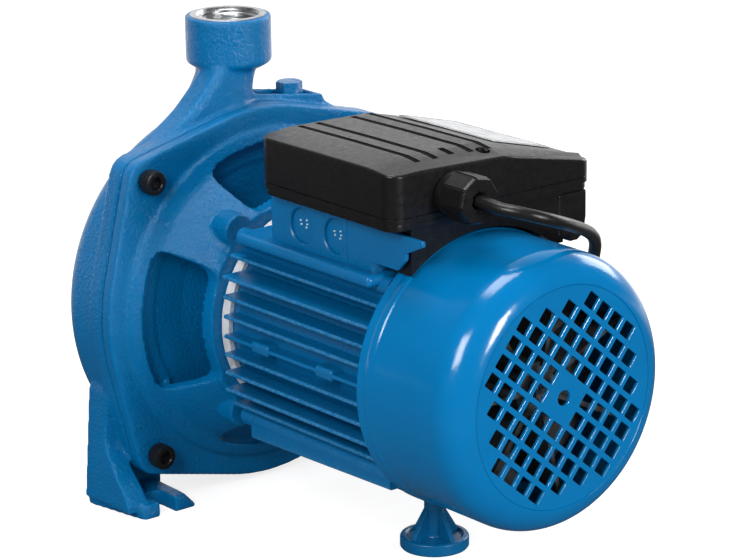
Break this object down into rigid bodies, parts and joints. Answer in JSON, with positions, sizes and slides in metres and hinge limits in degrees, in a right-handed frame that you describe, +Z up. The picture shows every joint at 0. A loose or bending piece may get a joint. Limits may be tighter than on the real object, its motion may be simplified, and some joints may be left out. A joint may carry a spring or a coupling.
{
  "type": "centrifugal surface pump",
  "caption": "Close-coupled electric surface pump: round volute casing on cast feet, windowed motor bracket, finned motor, fan cover with square grille, terminal box and supply cable.",
  "frame": {"origin": "on the floor, under the middle of the pump's length and width, the supply cable left out", "axes": "+Y from the suction port to the fan cover along the shaft, +Z up, +X to the right of someone who looks along +Y"},
  "size_m": [0.2737, 0.3186, 0.256],
  "materials": {
    "blue_cast_iron": "gloss blue enamel over cast iron",
    "blue_motor_paint": "gloss blue enamel over aluminium",
    "blue_cover_paint": "smooth gloss blue enamel over sheet steel",
    "blue_plastic": "moulded blue plastic",
    "black_plastic": "moulded black plastic",
    "black_oxide_steel": "black oxide",
    "bright_steel": "machined",
    "brass": "as cast",
    "black_rubber": "smooth",
    "label_silver": "satin, bare",
    "grey_polymer": "moulded"
  },
  "bodies": {
    "pump": {"volute_casing": "blue_cast_iron", "motor_bracket": "blue_cast_iron", "casing_screw_upper_left": "black_oxide_steel", "casing_screw_upper_right": "black_oxide_steel", "casing_screw_lower_left": "black_oxide_steel", "casing_screw_lower_right": "black_oxide_steel", "priming_plug": "blue_cast_iron", "drain_plug": "blue_cast_iron", "motor_housing": "blue_motor_paint", "end_shield": "blue_motor_paint", "fan_cover": "blue_cover_paint", "support_foot": "blue_plastic", "terminal_box_tray": "black_plastic", "terminal_box_lid": "black_plastic", "capacitor_pocket": "black_plastic", "rating_plate": "label_silver", "gland_collar": "black_plastic", "gland_nut": "black_plastic", "supply_cable": "black_rubber", "cable_coil": "black_rubber", "mains_plug": "black_rubber", "seal_seat": "grey_polymer"},
    "rotor": {"shaft": "bright_steel", "impeller": "brass", "impeller_nut": "bright_steel", "seal_ring": "bright_steel", "slinger": "black_rubber", "cooling_fan": "grey_polymer"}
  },
  "joints": [
    {"name": "rotor_spin", "type": "hinge", "parent": "pump", "child": "rotor", "pos_m": [0, -0.1085, 0.106], "axis": [0, 1, 0], "continuous": true}
  ]
}
